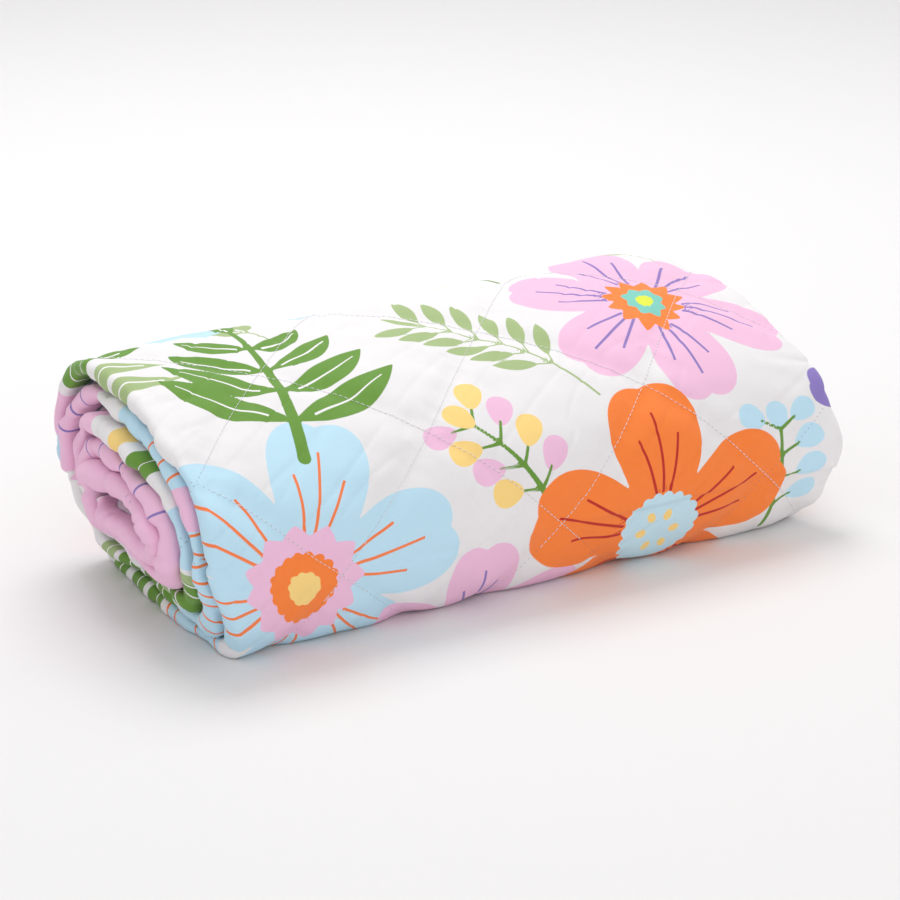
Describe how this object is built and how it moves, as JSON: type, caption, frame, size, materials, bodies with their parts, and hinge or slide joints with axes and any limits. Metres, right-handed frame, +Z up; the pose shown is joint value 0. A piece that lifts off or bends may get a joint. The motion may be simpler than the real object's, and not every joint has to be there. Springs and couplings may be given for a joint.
{
  "type": "camp blanket",
  "caption": "Quilted picnic and camp blanket in a bold flower print, folded in thirds and rolled into a flattened bundle.",
  "frame": {"origin": "on the ground plane, under the middle of the roll's bounding box", "axes": "+X along the roll from the end with the open spiral to the other end, +Z up, -Y towards the side that faces a viewer when the tail is at the back"},
  "size_m": [0.4618, 0.2234, 0.1526],
  "materials": {
    "face_cloth": "printed brushed polyester, matt, off-white ground with large flowers",
    "batting": "white polyester wadding",
    "back_cloth": "plain pale blue woven polyester, matt",
    "thread": "white polyester sewing thread",
    "care_label": "blank white woven tape"
  },
  "bodies": {
    "root": {"face_cloth": "face_cloth", "batting": "batting", "back_cloth": "back_cloth", "quilting_rising_1": "thread", "quilting_rising_2": "thread", "quilting_rising_3": "thread", "quilting_rising_4": "thread", "quilting_falling_1": "thread", "quilting_falling_2": "thread", "quilting_falling_3": "thread", "quilting_falling_4": "thread", "tail_topstitching": "thread", "care_label": "care_label"}
  },
  "joints": []
}
